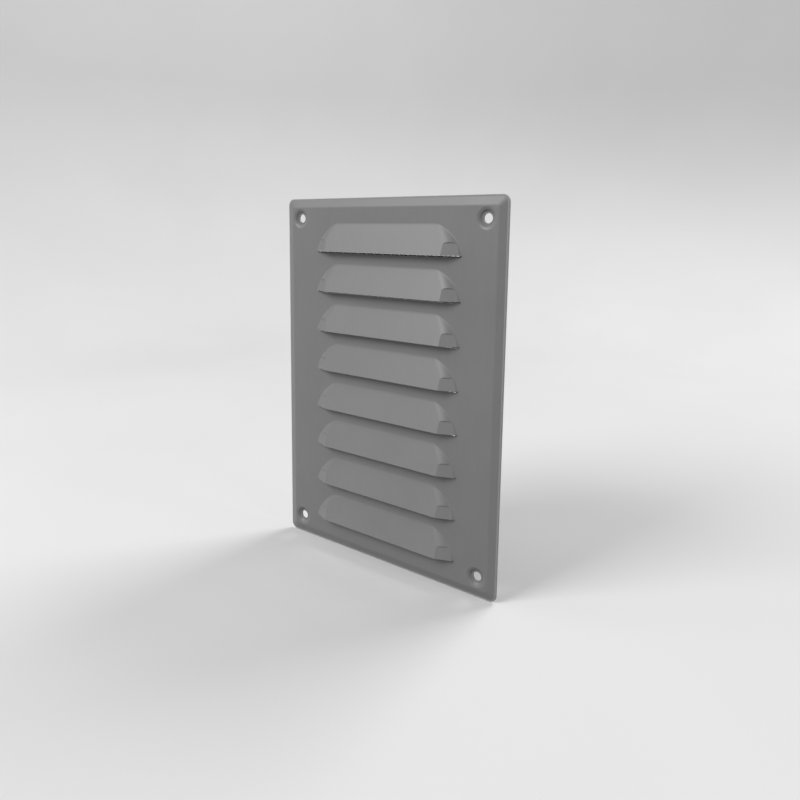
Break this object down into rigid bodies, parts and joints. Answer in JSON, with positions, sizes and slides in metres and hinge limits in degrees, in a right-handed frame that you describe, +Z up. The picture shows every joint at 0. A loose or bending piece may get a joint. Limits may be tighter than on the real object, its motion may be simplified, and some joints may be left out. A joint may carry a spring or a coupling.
{
  "type": "louvred vent panel",
  "caption": "Pressed metal vent panel with hooded louvres that face down, a bevelled edge, dimpled screw holes in the corners and an insect screen behind.",
  "frame": {"origin": "centre of the plate's outline and of its four screw holes, on the wall plane that the rim's back rests on", "axes": "+Z up, +X to the right seen from the front, +Y into the wall, so the louvres stand out towards -Y"},
  "size_m": [0.15, 0.0073, 0.21],
  "materials": {
    "plate_paint": "satin grey paint",
    "screen_wire": "matt dark coated wire"
  },
  "bodies": {
    "root": {"louvred_plate": "plate_paint", "insect_screen": "screen_wire"}
  },
  "joints": []
}
